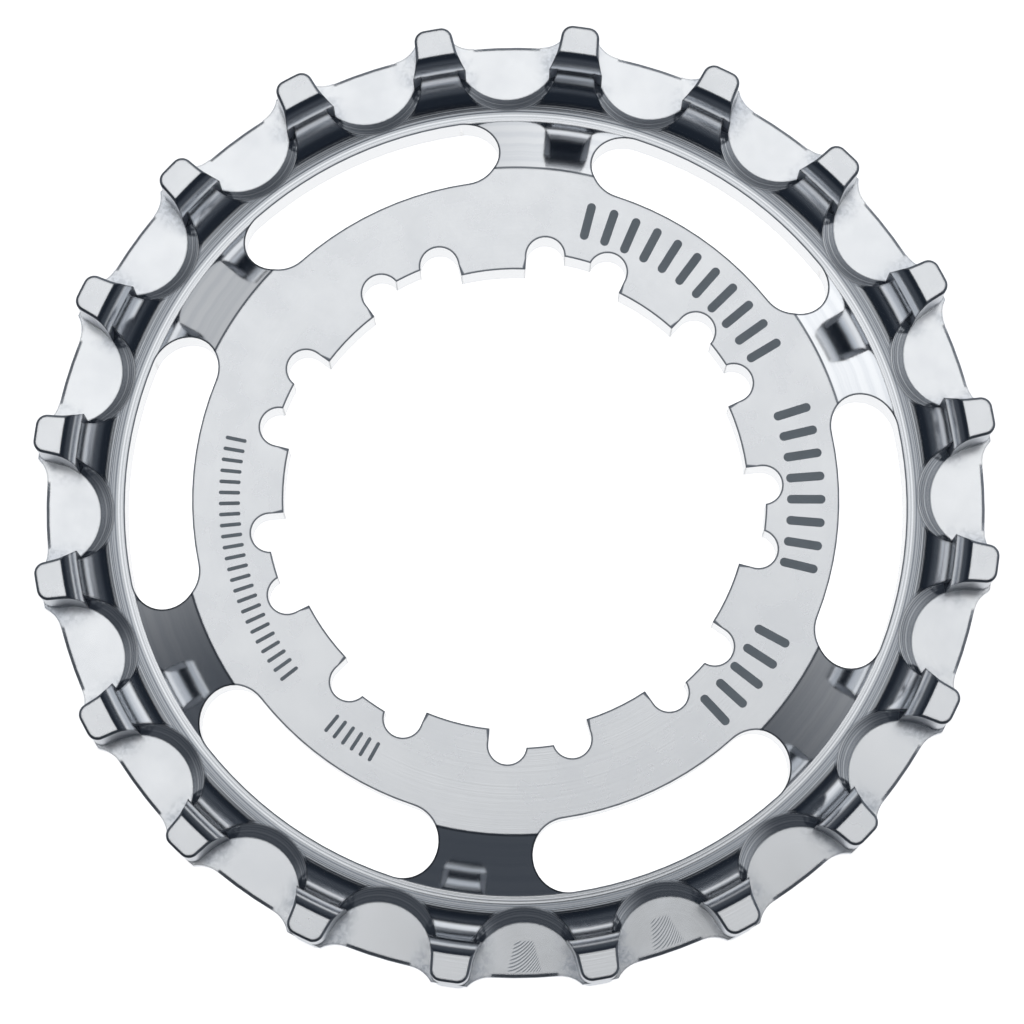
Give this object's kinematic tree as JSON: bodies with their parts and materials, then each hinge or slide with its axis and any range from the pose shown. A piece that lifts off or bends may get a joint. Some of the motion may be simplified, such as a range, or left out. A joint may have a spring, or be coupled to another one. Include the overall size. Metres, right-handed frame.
{
  "type": "belt drive sprocket",
  "caption": "One-piece bicycle belt sprocket with overhanging teeth on both sides of a centre fin, coned spokes and a splined bore.",
  "frame": {"origin": "on the axis, in the middle of the centre fin, which is the middle of the belt", "axes": "+Z along the axis out of the outer face, which the flat splined plate is flush with; +Y through a gap between two teeth and the middle of a window"},
  "size_m": [0.0678, 0.0678, 0.0106],
  "materials": {
    "steel": "polished and turned bare steel"
  },
  "bodies": {
    "root": {"sprocket": "steel"}
  },
  "joints": []
}
